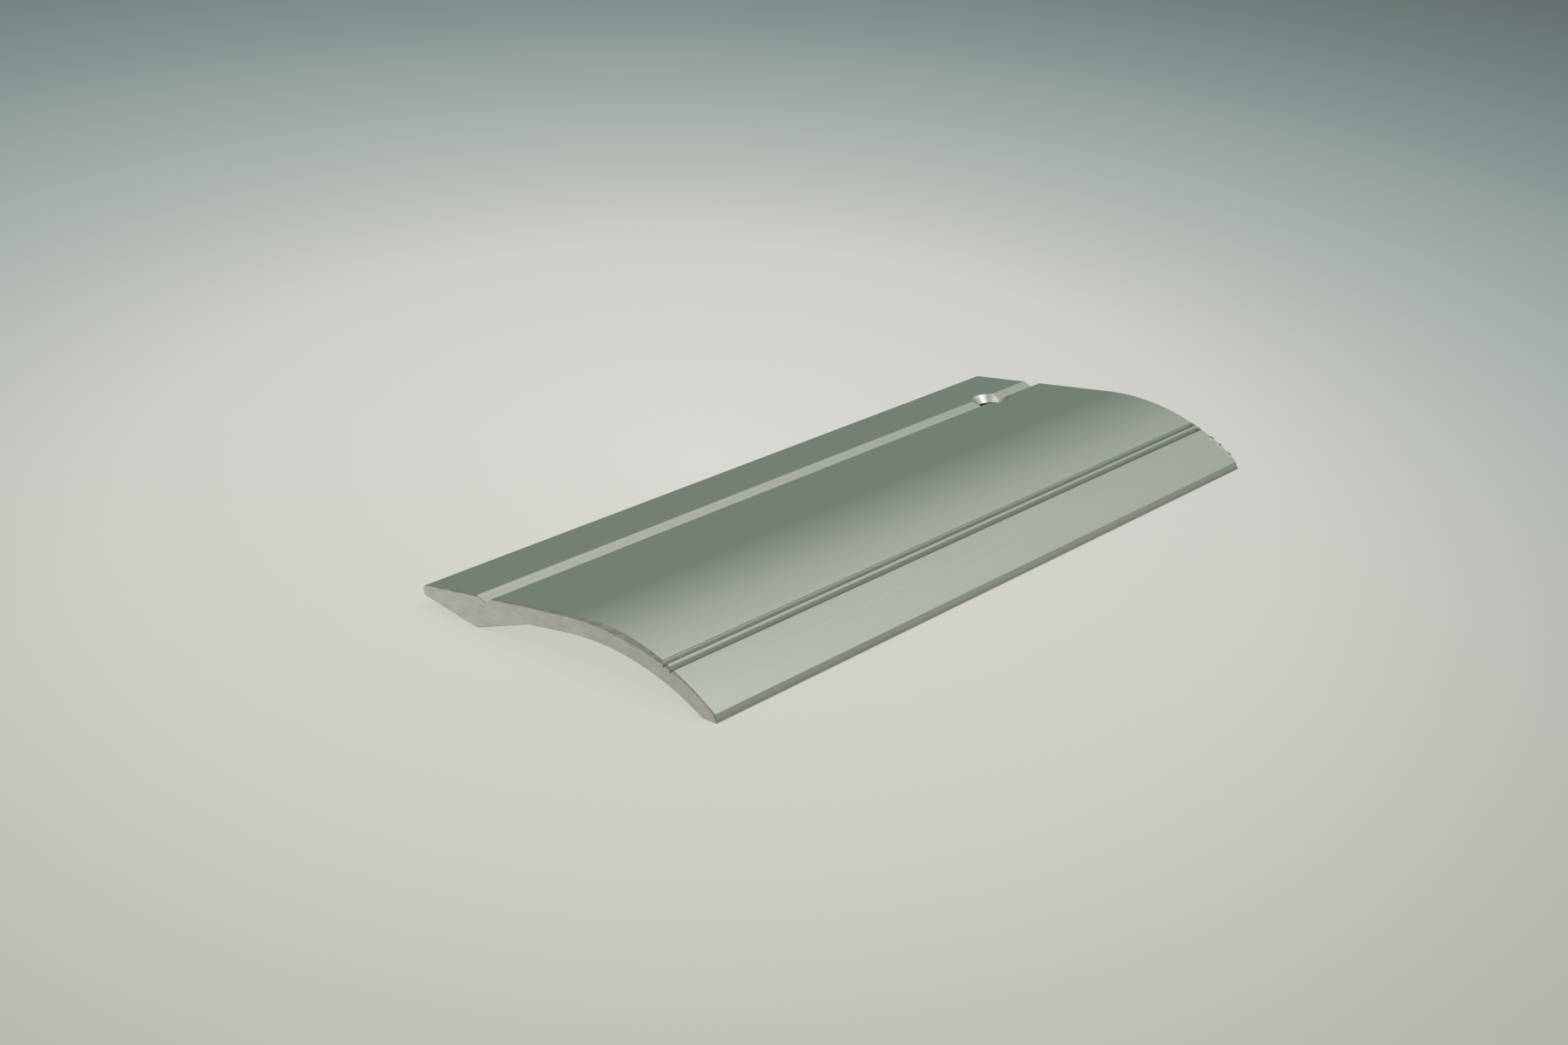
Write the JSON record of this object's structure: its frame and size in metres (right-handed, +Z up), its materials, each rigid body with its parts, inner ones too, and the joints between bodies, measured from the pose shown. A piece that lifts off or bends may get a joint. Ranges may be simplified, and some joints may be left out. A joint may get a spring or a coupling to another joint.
{
  "type": "floor transition strip",
  "caption": "Extruded aluminium strip that bridges two floors of unlike height: arched leg, flat wing with a screw groove and countersunk hole, thin round nose and a low foot under the wing.",
  "frame": {"origin": "on the floor, under the middle of the strip as it lies unheld on its low edge and its foot", "axes": "+X along the strip, towards the drilled end; +Y across it, from the low edge to the nose; +Z up"},
  "size_m": [0.1, 0.04, 0.0056],
  "materials": {
    "anodised_aluminium": "satin anodised, sawn ends"
  },
  "bodies": {
    "root": {"strip": "anodised_aluminium"}
  },
  "joints": []
}
